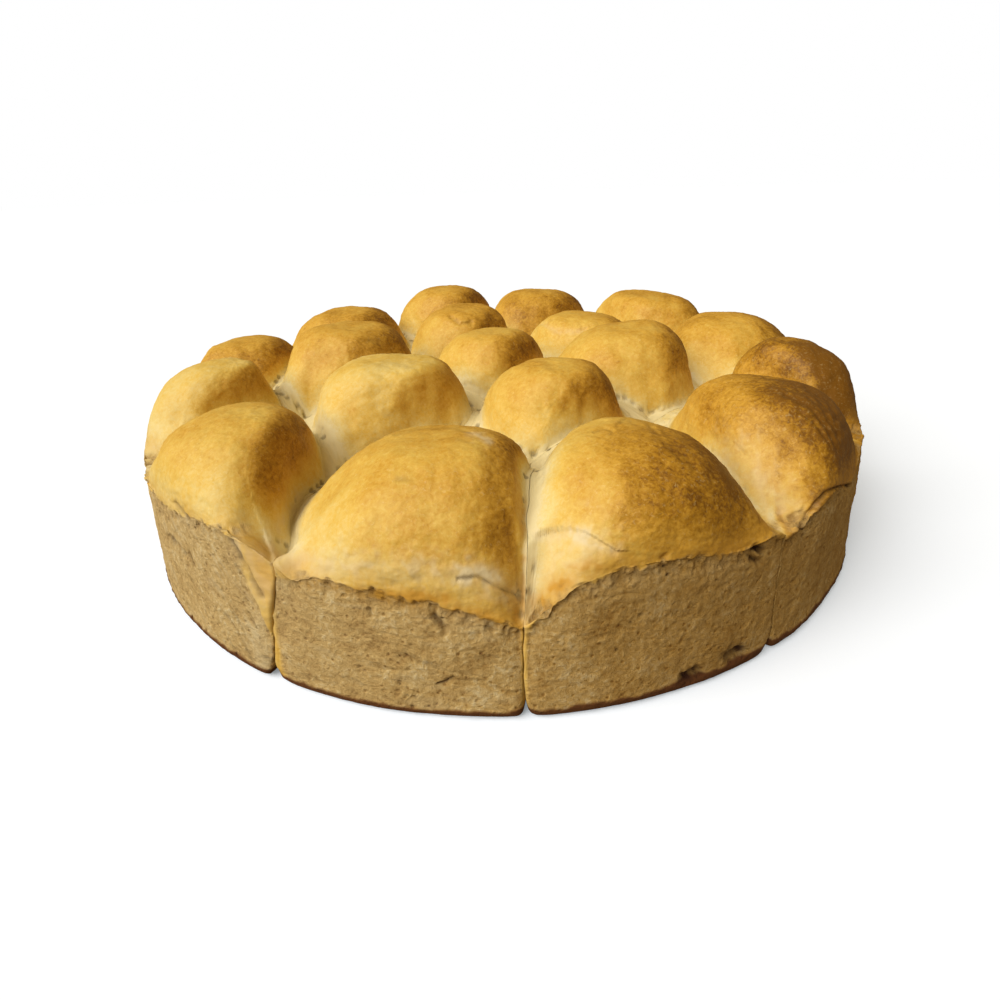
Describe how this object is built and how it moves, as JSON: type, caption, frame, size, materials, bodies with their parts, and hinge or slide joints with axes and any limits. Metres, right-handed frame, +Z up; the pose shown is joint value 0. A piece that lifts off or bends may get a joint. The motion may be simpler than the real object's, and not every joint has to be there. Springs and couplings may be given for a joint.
{
  "type": "pull-apart bread",
  "caption": "Round pull-apart loaf of golden-brown rolls, baked against each other in a round tin; domed tops, upright pale wall, flat base.",
  "frame": {"origin": "centre of the flat base, on the axis of the round", "axes": "+Z up out of the base through the crowns; -Y to the front of the loaf, +X to its right"},
  "size_m": [0.2814, 0.2817, 0.068],
  "materials": {
    "crust": "satin golden-brown crust on top, matte porous crumb on the wall"
  },
  "bodies": {
    "root": {"roll_outer_06": "crust", "roll_outer_05": "crust", "roll_outer_04": "crust", "roll_outer_03": "crust", "roll_outer_02": "crust", "roll_outer_01": "crust", "roll_outer_12": "crust", "roll_outer_11": "crust", "roll_outer_10": "crust", "roll_outer_09": "crust", "roll_outer_08": "crust", "roll_outer_07": "crust", "roll_inner_07": "crust", "roll_inner_05": "crust", "roll_inner_03": "crust", "roll_inner_01": "crust", "roll_inner_11": "crust", "roll_inner_09": "crust", "roll_centre": "crust"}
  },
  "joints": []
}
